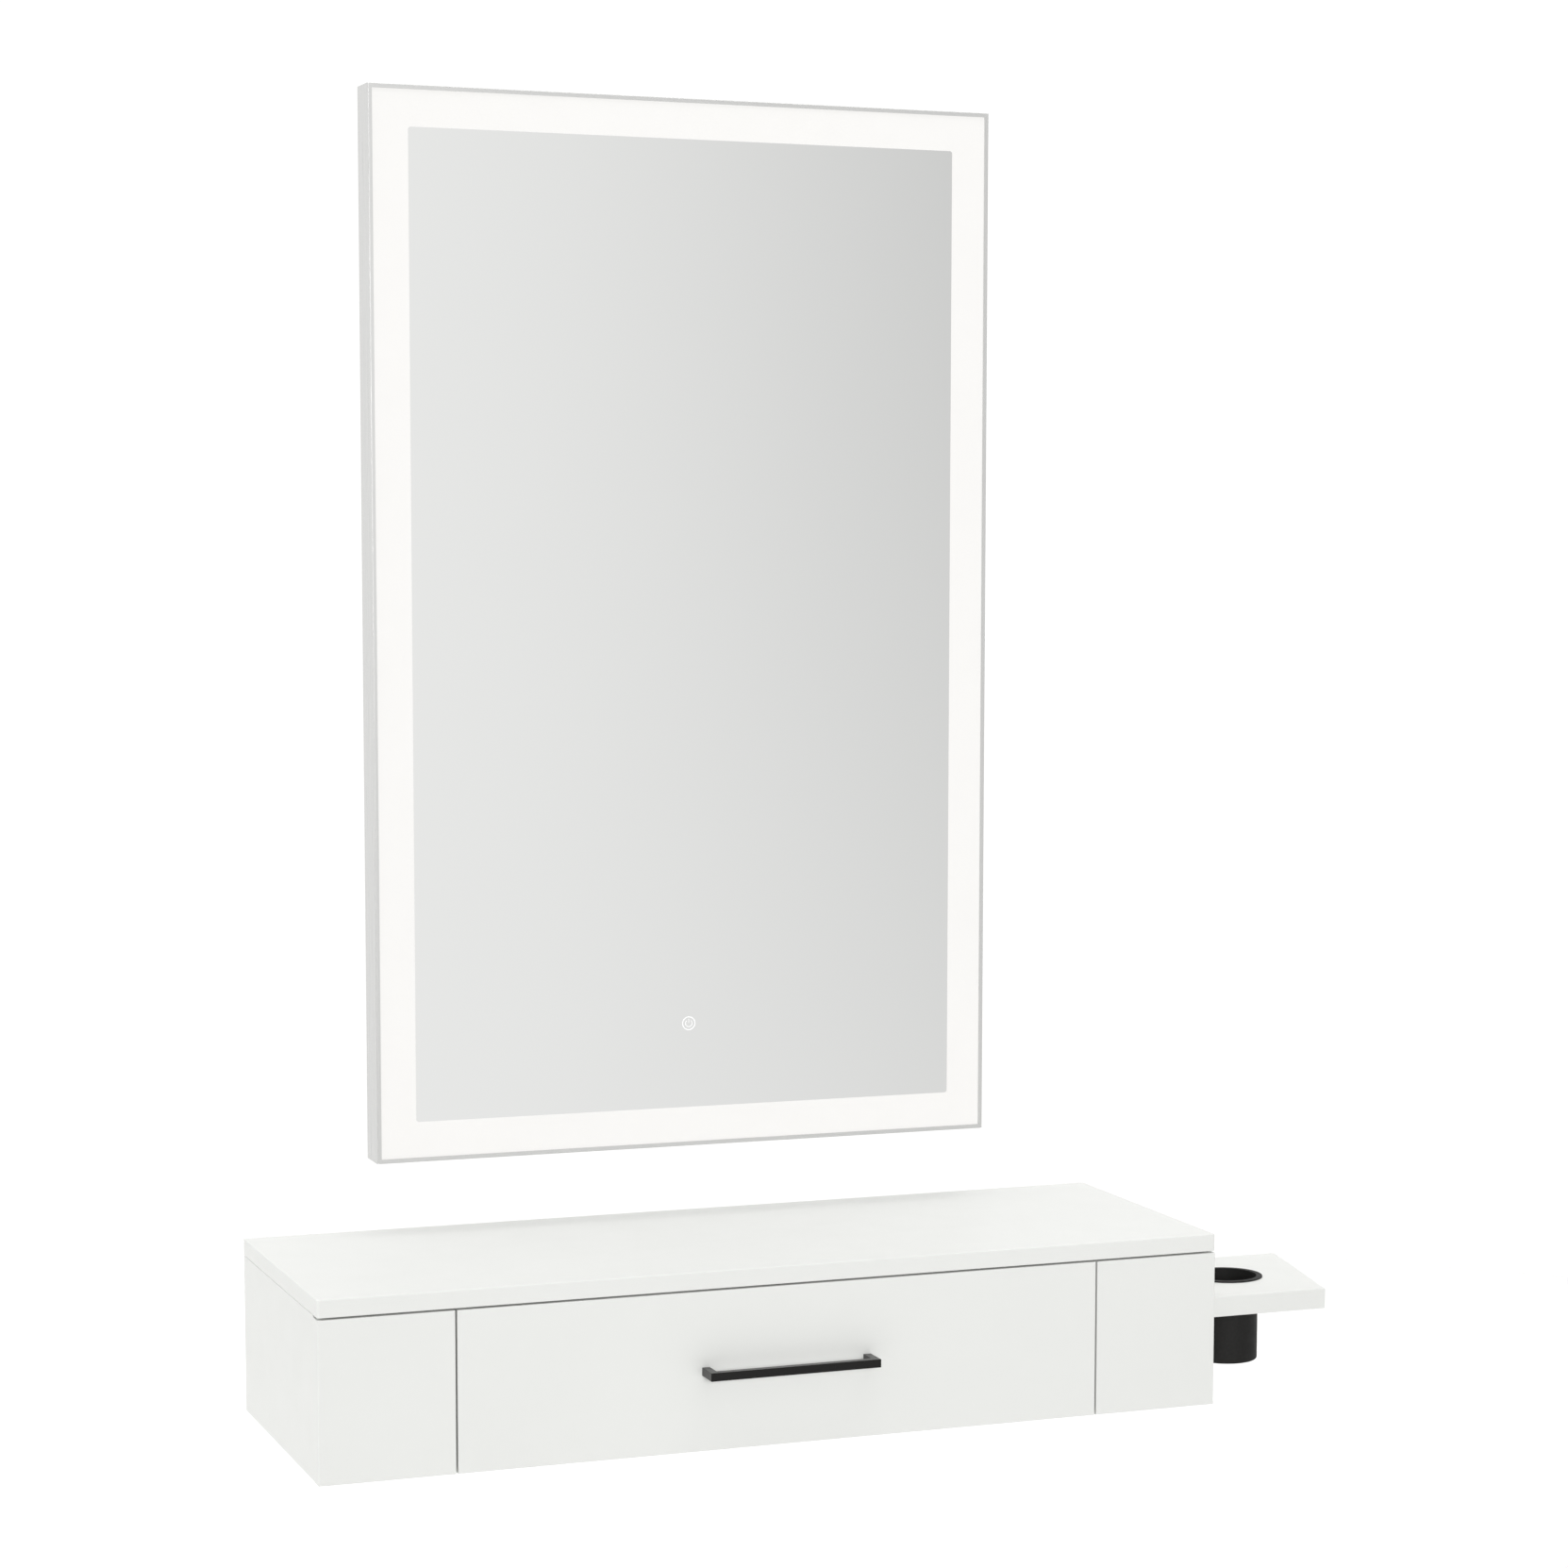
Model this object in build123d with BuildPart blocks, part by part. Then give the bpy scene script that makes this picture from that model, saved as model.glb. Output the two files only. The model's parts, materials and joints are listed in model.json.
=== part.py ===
"""A wall-hung salon styling station: a console with one drawer, an appliance shelf with a dryer cup on
its right side, and a back-lit mirror on its own wall cleat. Millimetres, +Z up, +X to the right, the
front faces -Y. The origin is the centre of the console's four wall bolts, on the wall plane y = 0."""

import os

from build123d import *

os.makedirs("parts", exist_ok=True)

# ---------------------------------------------------------------- driving dimensions, console
WIDTH = 1016.0
DEPTH = 352.0
HEIGHT = 193.0
BOARD = 19.0
REVEAL = 2.0  # gap between neighbouring fronts, and under the top board
EASE = 1.0  # rounding of the visible board edges
FRONT_CLEARANCE = 0.5  # closed drawer front to the carcass edges behind it
DRAWER_FRONT_WIDTH = 723.4
DIVIDER_FACE = 354.0  # inner faces of the dividers, from the centre
WALL_BOLT_X = 406.4
WALL_BOLT_Z = 90.0
WALL_BOLT_R = 4.5

HALF = WIDTH / 2
BOTTOM = -HEIGHT / 2
TOP = HEIGHT / 2
UNDER_TOP = TOP - BOARD
OVER_BOTTOM = BOTTOM + BOARD
FRONT_Y = -DEPTH
CARCASS_Y = FRONT_Y + BOARD
FRONT_TOP = UNDER_TOP - REVEAL
END_FRONT_X = DRAWER_FRONT_WIDTH / 2 + REVEAL
SIDES = (-1, 1)

# ---------------------------------------------------------------- driving dimensions, drawer
BOX_BOARD = 12.0
BOX_HEIGHT = 120.0
BOX_LIFT = 12.0
BOX_BACK_Y = -35.5
BOX_FLOOR = 6.0
BOX_FLOOR_LIFT = 8.0
GROOVE = 5.0
RUNNER_THICK = 12.7
RUNNER_HEIGHT = 45.0
RUNNER_LENGTH = 300.0
RUNNER_BACK_Y = -30.0
BALL_R = 1.5
BALL_PITCH = 14.0
BALLS_PER_ROW = 8
CAGE_LENGTH = 120.0

BOX_HALF = DIVIDER_FACE - RUNNER_THICK
BOX_INNER = BOX_HALF - BOX_BOARD
BOX_FRONT_Y = CARCASS_Y - FRONT_CLEARANCE
BOX_BOTTOM = OVER_BOTTOM + BOX_LIFT
BOX_TOP = BOX_BOTTOM + BOX_HEIGHT
RUNNER_Z = BOX_BOTTOM + RUNNER_HEIGHT
RUNNER_MID_Y = RUNNER_BACK_Y - RUNNER_LENGTH / 2

HANDLE_WIDTH = 192.0
HANDLE_BAR = 9.0
HANDLE_REACH = 30.0
HANDLE_Z = -10.5
HANDLE_POST_X = (HANDLE_WIDTH - HANDLE_BAR) / 2

# ---------------------------------------------------------------- driving dimensions, shelf and cup
SHELF_TOP = 18.0
SHELF_THICK = 23.0
SHELF_OUTLINE = ((HALF, -322), (664, -322), (707, -115), (HALF, -115))
CUP_X = 590.0
CUP_Y = -217.5
CUP_RIM_R = 42.4
CUP_RIM = 1.6
CUP_BODY_R = 37.4
CUP_WALL = 1.8
CUP_BOTTOM = -78.0
CUP_CLEARANCE = 0.5

# ---------------------------------------------------------------- driving dimensions, mirror
MIRROR_X = -8.0
MIRROR_WIDTH = 723.0
MIRROR_HEIGHT = 1171.0
MIRROR_BOTTOM = 179.0
MIRROR_FRONT_Y = -50.0
MIRROR_BACK_Y = -2.0
FRAME_WALL = 1.6
FRAME_SKIN = 1.5  # lips, ledges and rear flange
FRAME_LIP = 4.8
FRAME_LEDGE = 9.0
FRAME_FLANGE = 24.0
FRAME_BACK_R = 3.0
FRAME_FRONT_R = 1.2
FRAME_CORNER_R = 3.0
GLASS = 5.0
GLASS_INSET = 2.0
DIFFUSER = 2.0
DIFFUSER_BAND = 52.0
TRAY_BACK_Y = -15.8
TRAY_SHEET = 1.2
LIGHT_WALL_INSET = 50.0
LED_INSET = 26.0
LED_END = 40.0
LED_PITCH = 25.0
CLEAT_Z = 1230.0
CLEAT_LENGTH = 500.0
CLEAT_SHEET = 2.0
CLEAT_HOOK = 14.0  # height of the overlap that the mirror is lifted over
CLEAT_BOLT_X = 406.4
BUTTON_Z = 319.0

MIRROR_HALF = MIRROR_WIDTH / 2
MIRROR_TOP = MIRROR_BOTTOM + MIRROR_HEIGHT
MIRROR_MID_Z = MIRROR_BOTTOM + MIRROR_HEIGHT / 2
GLASS_FRONT_Y = MIRROR_FRONT_Y + FRAME_SKIN
GLASS_BACK_Y = GLASS_FRONT_Y + GLASS
DIFFUSER_BACK_Y = GLASS_BACK_Y + DIFFUSER
TRAY_FRONT_Y = TRAY_BACK_Y - TRAY_SHEET
LED_BOARD = 1.6
LED_CHIP = 5.0
LED_CHIP_THICK = 1.6
SENSOR_R = 14.0
SENSOR_BOARD = 1.6
DRIVER_SIZE = (160.0, 18.0, 50.0)
DRIVER_Z = 465.0
GLAND_X = MIRROR_X + 150.0
GLAND_R = 6.4
GLAND_NUT_R = 9.0
GLAND_NUT = 2.5
GLAND_LENGTH = 14.0
GLAND_FRONT_Y = -24.0
CORD_BORE_R = 3.75
LEAD_R = 1.5
LEAD_Y = -24.0

# ---------------------------------------------------------------- helpers that work in the current part
UPWARD = (Align.CENTER, Align.CENTER, Align.MIN)
TURN = {"x": (0, 90, 0), "-x": (0, -90, 0), "y": (-90, 0, 0), "-y": (90, 0, 0), "z": (0, 0, 0)}


def block(x, y, z, mode=Mode.ADD):
    """A box between two x, two y and two z values."""
    with Locations((sum(x) / 2, sum(y) / 2, sum(z) / 2)):
        Box(abs(x[1] - x[0]), abs(y[1] - y[0]), abs(z[1] - z[0]), mode=mode)


def bores(axis, centres, radius, length):
    """Cylindrical holes of one size, each centred on its point."""
    with Locations(*[Location(centre, TURN[axis]) for centre in centres]):
        Cylinder(radius, length, mode=Mode.SUBTRACT)


def screw_group(places, head_r, head_h, shank_r, length, flush=False):
    """Screws whose shanks run along each place's +Z from its origin; a flush head tapers into it."""
    taper = head_r - shank_r
    profile = [(0, 0), (head_r, 0), (shank_r, taper)]
    drive_face, drive_depth = 0, taper / 2
    if not flush:
        profile = [(0, -head_h), (head_r, -head_h), (head_r, 0), (shank_r, 0)]
        drive_face, drive_depth = -head_h, head_h * 0.6
    profile += [(shank_r, length - shank_r), (0, length)]
    with BuildPart() as one:
        with BuildSketch(Plane.XZ):
            with BuildLine():
                Polyline(*profile, close=True)
            make_face()
        revolve(axis=Axis.Z)
        with Locations((0, 0, drive_face + drive_depth / 2)):
            Box(head_r, 0.8, drive_depth, mode=Mode.SUBTRACT)
            Box(0.8, head_r, drive_depth, mode=Mode.SUBTRACT)
    with BuildPart() as group:
        with Locations(*places):
            add(one.part)
    return group


def write(name, builder):
    """Labels a finished piece and writes its STEP file."""
    builder.part.label = name
    export_step(builder.part, f"parts/{name}.step")


# ---------------------------------------------------------------- where the console's fixings sit
SIDE_MID_X = HALF - BOARD / 2
DIVIDER_MID_X = DIVIDER_FACE + BOARD / 2
CAM_R = 7.5
CAM_DEPTH = 12.5
CAM_Z = UNDER_TOP - 34.0
CAM_Y = (-270.0, -80.0)
CAM_BOLT_R = 3.5
CAM_THREAD_R = 4.0
CAM_THREAD = 11.0
CAM_FACES = [(s * (HALF - BOARD), s) for s in SIDES] + [(s * (DIVIDER_FACE + BOARD), -s) for s in SIDES]

DOWEL_R = 4.0
FRONT_DOWEL_R = 3.0
DOWEL_LENGTH = 30.0
DOWEL_SHIFT = 5.0  # two thirds of a dowel sit in one board and a third in the other
PANEL_X = [s * x for s in SIDES for x in (SIDE_MID_X, DIVIDER_MID_X)]
SHELF_MID_Z = SHELF_TOP - SHELF_THICK / 2
DOWELS_Z = [(x, -175, UNDER_TOP - DOWEL_SHIFT) for x in PANEL_X]
DOWELS_Z += [(s * DIVIDER_MID_X, y, OVER_BOTTOM + DOWEL_SHIFT) for s in SIDES for y in (-250, -90)]
SIDE_DOWEL_X = HALF - BOARD - DOWEL_SHIFT
DOWELS_X = [(s * SIDE_DOWEL_X, y, BOTTOM + BOARD / 2) for s in SIDES for y in (-290, -175, -60)]
DOWELS_X += [(s * SIDE_DOWEL_X, -BOARD / 2, z) for s in SIDES for z in (-50, 50)]
DOWELS_X += [(HALF + DOWEL_SHIFT, y, SHELF_MID_Z) for y in (-245, -185)]
DOWELS_Y = [(x, -BOARD - DOWEL_SHIFT, BOTTOM + BOARD / 2) for x in (-300, -100, 100, 300)]
FRONT_LAP_X = (END_FRONT_X + DIVIDER_FACE + BOARD) / 2
FRONT_DOWELS = [
    (s * x, CARCASS_Y + DOWEL_SHIFT, z) for s in SIDES for x in (SIDE_MID_X, FRONT_LAP_X) for z in (-60, 50)
]

SHELF_SCREW_R = 3.5
SHELF_SCREW_LENGTH = 60.0
SHELF_SCREWS = [(HALF - BOARD, y, SHELF_MID_Z) for y in (-290, -140)]
RUNNER_SCREW_Y = (-295, RUNNER_MID_Y, -65)
RUNNER_SCREW_R = 1.9
BOX_SCREW_R = 2.0
BOX_SCREW_LENGTH = 35.0
BOX_SCREW_Z = (-43, 10, 42)
BOX_SCREW_Y = (BOX_FRONT_Y + BOX_BOARD / 2, BOX_BACK_Y - BOX_BOARD / 2)
FRONT_SCREW_LENGTH = 26.0
FRONT_SCREWS = [(s * 250, BOX_FRONT_Y + BOX_BOARD, z) for s in SIDES for z in (-35, 35)]
HANDLE_SCREW_LENGTH = 45.0
HANDLE_SCREWS = [(s * HANDLE_POST_X, BOX_FRONT_Y + BOX_BOARD, HANDLE_Z) for s in SIDES]


def drill_dowels():
    """The dowel holes of whichever board is being made."""
    bores("z", DOWELS_Z, DOWEL_R, DOWEL_LENGTH)
    bores("x", DOWELS_X, DOWEL_R, DOWEL_LENGTH)
    bores("y", DOWELS_Y, DOWEL_R, DOWEL_LENGTH)
    bores("y", FRONT_DOWELS, FRONT_DOWEL_R, DOWEL_LENGTH)


def drill_cams():
    """The cam pockets, and the bolt holes that rise from them into the top board."""
    pockets = [(x + s * CAM_DEPTH / 2, y, CAM_Z) for x, s in CAM_FACES for y in CAM_Y]
    bolts = [(x, y, (CAM_Z - CAM_BOLT_R + UNDER_TOP) / 2) for x in PANEL_X for y in CAM_Y]
    threads = [(x, y, UNDER_TOP) for x in PANEL_X for y in CAM_Y]
    bores("x", pockets, CAM_R, CAM_DEPTH)
    bores("z", bolts, CAM_BOLT_R, UNDER_TOP - CAM_Z + CAM_BOLT_R)
    bores("z", threads, CAM_THREAD_R, 2 * CAM_THREAD)


# ---------------------------------------------------------------- console carcass
def top_board():
    with BuildPart() as board:
        block((-HALF, HALF), (FRONT_Y, 0), (UNDER_TOP, TOP))
        fillet(board.edges().filter_by(Axis.Z).group_by(Axis.Y)[0], 3 * EASE)
        rims = board.faces().sort_by(Axis.Z)[0].edges() + board.faces().sort_by(Axis.Z)[-1].edges()
        fillet(rims, EASE)
        bores("z", [p for p in DOWELS_Z if p[2] > 0], DOWEL_R, DOWEL_LENGTH)
        bores("z", [(x, y, UNDER_TOP) for x in PANEL_X for y in CAM_Y], CAM_THREAD_R, 2 * CAM_THREAD)
    return board


def side_panel(side):
    with BuildPart() as panel:
        block((side * (HALF - BOARD), side * HALF), (CARCASS_Y, 0), (BOTTOM, UNDER_TOP))
        lower = panel.edges().filter_by(Axis.Y).group_by(Axis.Z)[0]
        fillet(lower.sort_by(Axis.X)[-1 if side > 0 else 0], EASE)
        drill_dowels()
        drill_cams()
        if side > 0:
            bores("x", [(HALF, y, z) for _, y, z in SHELF_SCREWS], SHELF_SCREW_R, 2 * SHELF_SCREW_LENGTH)
    return panel


def bottom_panel():
    with BuildPart() as panel:
        block((-HALF + BOARD, HALF - BOARD), (CARCASS_Y, -BOARD), (BOTTOM, OVER_BOTTOM))
        drill_dowels()
    return panel


def back_panel():
    with BuildPart() as panel:
        block((-HALF + BOARD, HALF - BOARD), (-BOARD, 0), (BOTTOM, UNDER_TOP))
        drill_dowels()
        with Locations(Location((0, -BOARD / 2, 0), TURN["y"])):
            with GridLocations(WALL_BOLT_X, WALL_BOLT_Z, 2, 2):
                Cylinder(WALL_BOLT_R, BOARD, mode=Mode.SUBTRACT)
    return panel


def divider(side):
    with BuildPart() as panel:
        inner, outer = side * DIVIDER_FACE, side * (DIVIDER_FACE + BOARD)
        block((inner, outer), (CARCASS_Y, -BOARD), (OVER_BOTTOM, UNDER_TOP))
        drill_dowels()
        drill_cams()
        bores("x", [(inner, y, RUNNER_Z) for y in RUNNER_SCREW_Y], RUNNER_SCREW_R, 2 * BOX_BOARD)
    return panel


def end_front(side):
    """The fixed front at one end; it covers the side panel's edge and laps the divider."""
    with BuildPart() as front:
        block((side * END_FRONT_X, side * HALF), (FRONT_Y, CARCASS_Y), (BOTTOM, FRONT_TOP))
        fillet(front.faces().sort_by(Axis.Y)[0].edges(), EASE)
        drill_dowels()
    return front


def cam_locks():
    """One zinc cam disc in each pocket, slotted for the bolt and cross-cut for a screwdriver."""
    with BuildPart() as cams:
        centres = [(x + s * CAM_DEPTH / 2, y, CAM_Z) for x, s in CAM_FACES for y in CAM_Y]
        with Locations(*[Location(centre, TURN["x"]) for centre in centres]):
            Cylinder(CAM_R - 0.1, CAM_DEPTH - 0.1)
        slots = [(x, y, CAM_Z + CAM_R / 2 - 1) for x in PANEL_X for y in CAM_Y]
        bores("z", slots, CAM_BOLT_R + 0.1, CAM_R + 4)
        crosses = [(x, y, CAM_Z) for x, _ in CAM_FACES for y in CAM_Y]
        with Locations(*crosses):
            Box(3, 8, 1.6, mode=Mode.SUBTRACT)
            Box(3, 1.6, 8, mode=Mode.SUBTRACT)
    return cams


def cam_bolts():
    """Steel bolts from each cam up into the top board."""
    neck_r, head_r, head = 2.4, 3.3, 3.0
    shoulder = CAM_R + 2
    with BuildPart() as bolts:
        with Locations(*[(x, y, CAM_Z - head / 2) for x in PANEL_X for y in CAM_Y]):
            Cylinder(head_r, head, align=UPWARD)
            Cylinder(neck_r, shoulder + head, align=UPWARD)
        with Locations(*[(x, y, CAM_Z + shoulder) for x in PANEL_X for y in CAM_Y]):
            Cylinder(CAM_BOLT_R, UNDER_TOP - CAM_Z - shoulder, align=UPWARD)
        with Locations(*[(x, y, UNDER_TOP) for x in PANEL_X for y in CAM_Y]):
            Cylinder(CAM_THREAD_R, CAM_THREAD, align=UPWARD)
    return bolts


def wooden_dowels():
    with BuildPart() as dowels:
        for axis, centres in (("z", DOWELS_Z), ("x", DOWELS_X), ("y", DOWELS_Y)):
            with Locations(*[Location(centre, TURN[axis]) for centre in centres]):
                Cylinder(DOWEL_R, DOWEL_LENGTH)
        with Locations(*[Location(centre, TURN["y"]) for centre in FRONT_DOWELS]):
            Cylinder(FRONT_DOWEL_R, DOWEL_LENGTH)
        chamfer(dowels.edges().filter_by(GeomType.CIRCLE), 1)
    return dowels


# ---------------------------------------------------------------- appliance shelf and dryer cup
def appliance_shelf():
    """A tapered board, widest at the back, with the cup's hole near the middle."""
    with BuildPart() as shelf:
        with BuildSketch(Plane.XY.offset(SHELF_TOP - SHELF_THICK)):
            with BuildLine():
                Polyline(*SHELF_OUTLINE, close=True)
            make_face()
            with Locations((CUP_X, CUP_Y)):
                Circle(CUP_BODY_R + CUP_CLEARANCE, mode=Mode.SUBTRACT)
        extrude(amount=SHELF_THICK)
        outer = shelf.edges().filter_by(Axis.Z).filter_by_position(Axis.X, HALF + 1, 1000)
        fillet(outer.filter_by(GeomType.LINE).group_by(Axis.X)[-1], 2 * EASE)
        free = shelf.edges().filter_by(GeomType.LINE).filter_by(Plane.XY)
        fillet(free.filter_by_position(Axis.X, HALF + 1, 1000), EASE)
        bores("x", DOWELS_X, DOWEL_R, DOWEL_LENGTH)
        bores("x", SHELF_SCREWS, SHELF_SCREW_R, 2 * SHELF_SCREW_LENGTH)
    return shelf


def shelf_screws():
    places = [Location(p, TURN["x"]) for p in SHELF_SCREWS]
    return screw_group(places, 5.5, 3, SHELF_SCREW_R, SHELF_SCREW_LENGTH)


def dryer_cup():
    """A spun cup that hangs by its rim in the shelf's hole and lifts straight out."""
    with BuildPart() as cup:
        with BuildSketch(Plane.XY.offset(CUP_BOTTOM)):
            with Locations((CUP_X, CUP_Y)):
                Circle(CUP_BODY_R)
        extrude(amount=SHELF_TOP - CUP_BOTTOM)
        fillet(cup.faces().sort_by(Axis.Z)[0].edges(), 2.5)
        with BuildSketch(Plane.XY.offset(SHELF_TOP)):
            with Locations((CUP_X, CUP_Y)):
                Circle(CUP_RIM_R)
        extrude(amount=CUP_RIM)
        fillet(cup.faces().sort_by(Axis.Z)[-1].edges(), 0.6)
        with BuildSketch(Plane.XY.offset(CUP_BOTTOM + CUP_WALL)):
            with Locations((CUP_X, CUP_Y)):
                Circle(CUP_BODY_R - CUP_WALL)
        extrude(amount=SHELF_TOP + CUP_RIM - CUP_BOTTOM, mode=Mode.SUBTRACT)
    return cup


# ---------------------------------------------------------------- ball-bearing runners
# Each member's section is a list of bars: thickness range from the divider's face, then height range.
OUTER_BARS = [((0, 1.2), (-22.5, 22.5))]
OUTER_BARS += [((0, 11), (s * 21.3, s * 22.5)) for s in SIDES]
OUTER_BARS += [((9.8, 11), (s * 19.5, s * 22)) for s in SIDES]
MIDDLE_BARS = [((2.2, 3.2), (-17.6, 17.6))] + [((2.2, 9.0), (s * 16.6, s * 17.6)) for s in SIDES]
INNER_BARS = [((11.5, 12.7), (-12.7, 12.7))] + [((4.4, 12.7), (s * 11.7, s * 12.7)) for s in SIDES]
OUTER_BALL = (6.0, 19.45)
INNER_BALL = (6.7, 14.65)
CAGE_HALF_WIDTH = 2.4
CAGE_THICK = 0.8
RUNNER_SHEET = 1.2
SLIDE_SCREW_HEAD_R = 3.4
SLIDE_SCREW_HEAD = 0.8
RUNNER_SCREW_LENGTH = 13.0
SLIDE_SCREW_LENGTH = 11.0


def runner(side, bars):
    with BuildPart() as member:
        with BuildSketch(Plane.XZ.offset(-RUNNER_BACK_Y)):
            for across, up in bars:
                centre = (side * (DIVIDER_FACE - sum(across) / 2), RUNNER_Z + sum(up) / 2)
                with Locations(centre):
                    Rectangle(across[1] - across[0], abs(up[1] - up[0]))
        extrude(amount=RUNNER_LENGTH)
        holes = [(side * DIVIDER_FACE, y, RUNNER_Z) for y in RUNNER_SCREW_Y]
        bores("x", holes, RUNNER_SCREW_R, 4 * RUNNER_THICK)
    return member


def ball_places(ball):
    """Centres of every ball of one race, on both sides and in the upper and lower rows."""
    across, up = ball
    first = RUNNER_MID_Y - BALL_PITCH * (BALLS_PER_ROW - 1) / 2
    rows = [(s * (DIVIDER_FACE - across), RUNNER_Z + v * up) for s in SIDES for v in SIDES]
    return [(x, first + BALL_PITCH * i, z) for x, z in rows for i in range(BALLS_PER_ROW)]


def cages(ball):
    across, up = ball
    with BuildPart() as strips:
        for s in SIDES:
            for v in SIDES:
                with Locations((s * (DIVIDER_FACE - across), RUNNER_MID_Y, RUNNER_Z + v * up)):
                    Box(2 * CAGE_HALF_WIDTH, CAGE_LENGTH, CAGE_THICK)
        bores("z", ball_places(ball), BALL_R + 0.15, 2 * CAGE_THICK)
    return strips


def balls(ball):
    with BuildPart() as group:
        with Locations(*ball_places(ball)):
            Sphere(BALL_R)
    return group


def runner_screws():
    """Low-headed screws that hold the outer members to the dividers."""
    seat = DIVIDER_FACE - RUNNER_SHEET
    places = [Location((seat, y, RUNNER_Z), TURN["x"]) for y in RUNNER_SCREW_Y]
    places += [Location((-seat, y, RUNNER_Z), TURN["-x"]) for y in RUNNER_SCREW_Y]
    return screw_group(places, SLIDE_SCREW_HEAD_R, SLIDE_SCREW_HEAD, RUNNER_SCREW_R, RUNNER_SCREW_LENGTH)


def slide_screws():
    """Low-headed screws that hold the inner members to the drawer's sides."""
    seat = BOX_HALF + RUNNER_SHEET
    places = [Location((seat, y, RUNNER_Z), TURN["-x"]) for y in RUNNER_SCREW_Y]
    places += [Location((-seat, y, RUNNER_Z), TURN["x"]) for y in RUNNER_SCREW_Y]
    return screw_group(places, SLIDE_SCREW_HEAD_R, SLIDE_SCREW_HEAD, RUNNER_SCREW_R, SLIDE_SCREW_LENGTH)


# ---------------------------------------------------------------- drawer
FLOOR_Z = (BOX_BOTTOM + BOX_FLOOR_LIFT, BOX_BOTTOM + BOX_FLOOR_LIFT + BOX_FLOOR)
FLOOR_X = (-BOX_INNER - GROOVE, BOX_INNER + GROOVE)
FLOOR_Y = (BOX_FRONT_Y + BOX_BOARD - GROOVE, BOX_BACK_Y - BOX_BOARD + GROOVE)


def drill_box():
    """The floor's groove and the screw holes of whichever side of the box is being made."""
    block(FLOOR_X, FLOOR_Y, FLOOR_Z, mode=Mode.SUBTRACT)
    corners = [(s * BOX_HALF, y, z) for s in SIDES for y in BOX_SCREW_Y for z in BOX_SCREW_Z]
    bores("x", corners, BOX_SCREW_R, 2 * BOX_SCREW_LENGTH)
    with Locations(*[Location(p, TURN["-x" if p[0] > 0 else "x"]) for p in corners]):
        Cone(2 * BOX_SCREW_R, BOX_SCREW_R, BOX_SCREW_R, align=UPWARD, mode=Mode.SUBTRACT)


def drawer_front():
    with BuildPart() as front:
        half = DRAWER_FRONT_WIDTH / 2
        block((-half, half), (FRONT_Y, BOX_FRONT_Y), (BOTTOM, FRONT_TOP))
        fillet(front.faces().sort_by(Axis.Y)[0].edges(), EASE)
        bores("y", FRONT_SCREWS, BOX_SCREW_R, 2 * FRONT_SCREW_LENGTH)
        bores("y", HANDLE_SCREWS, BOX_SCREW_R, 4 * HANDLE_SCREW_LENGTH)
    return front


def drawer_subfront():
    with BuildPart() as board:
        block((-BOX_INNER, BOX_INNER), (BOX_FRONT_Y, BOX_FRONT_Y + BOX_BOARD), (BOX_BOTTOM, BOX_TOP))
        drill_box()
        bores("y", FRONT_SCREWS + HANDLE_SCREWS, BOX_SCREW_R, 4 * BOX_BOARD)
    return board


def drawer_side(side):
    with BuildPart() as board:
        block((side * BOX_INNER, side * BOX_HALF), (BOX_FRONT_Y, BOX_BACK_Y), (BOX_BOTTOM, BOX_TOP))
        drill_box()
        depth = SLIDE_SCREW_LENGTH - RUNNER_SHEET
        bores("x", [(side * BOX_HALF, y, RUNNER_Z) for y in RUNNER_SCREW_Y], RUNNER_SCREW_R, 2 * depth)
    return board


def drawer_back():
    with BuildPart() as board:
        block((-BOX_INNER, BOX_INNER), (BOX_BACK_Y - BOX_BOARD, BOX_BACK_Y), (BOX_BOTTOM, BOX_TOP))
        drill_box()
    return board


def drawer_bottom():
    with BuildPart() as board:
        block(FLOOR_X, FLOOR_Y, FLOOR_Z)
    return board


def bar_handle():
    """A square bar on two square posts."""
    outer = HANDLE_WIDTH / 2
    low, high = HANDLE_Z - HANDLE_BAR / 2, HANDLE_Z + HANDLE_BAR / 2
    with BuildPart() as handle:
        block((-outer, outer), (FRONT_Y - HANDLE_REACH, FRONT_Y), (low, high))
        gap_x = (-outer + HANDLE_BAR, outer - HANDLE_BAR)
        gap_y = (FRONT_Y - HANDLE_REACH + HANDLE_BAR, FRONT_Y)
        block(gap_x, gap_y, (low, high), mode=Mode.SUBTRACT)
        fillet(handle.edges().filter_by_position(Axis.Y, FRONT_Y - HANDLE_REACH - 1, FRONT_Y - 1), 0.6)
        bores("y", [(x, FRONT_Y, z) for x, _, z in HANDLE_SCREWS], BOX_SCREW_R, 2 * 15)
    return handle


def handle_screws():
    places = [Location(p, TURN["-y"]) for p in HANDLE_SCREWS]
    return screw_group(places, 4, 2.4, BOX_SCREW_R, HANDLE_SCREW_LENGTH)


def front_screws():
    places = [Location(p, TURN["-y"]) for p in FRONT_SCREWS]
    return screw_group(places, 4, 2, BOX_SCREW_R, FRONT_SCREW_LENGTH)


def drawer_box_screws():
    spots = [(y, z) for y in BOX_SCREW_Y for z in BOX_SCREW_Z]
    places = [Location((BOX_HALF, y, z), TURN["-x"]) for y, z in spots]
    places += [Location((-BOX_HALF, y, z), TURN["x"]) for y, z in spots]
    return screw_group(places, 2 * BOX_SCREW_R, 0, BOX_SCREW_R, BOX_SCREW_LENGTH, flush=True)


# ---------------------------------------------------------------- mirror frame
LEFT_X = MIRROR_X - MIRROR_HALF
RIGHT_X = MIRROR_X + MIRROR_HALF
X_OUT, Z_OUT = Vector(1, 0, 0), Vector(0, 0, 1)
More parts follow.
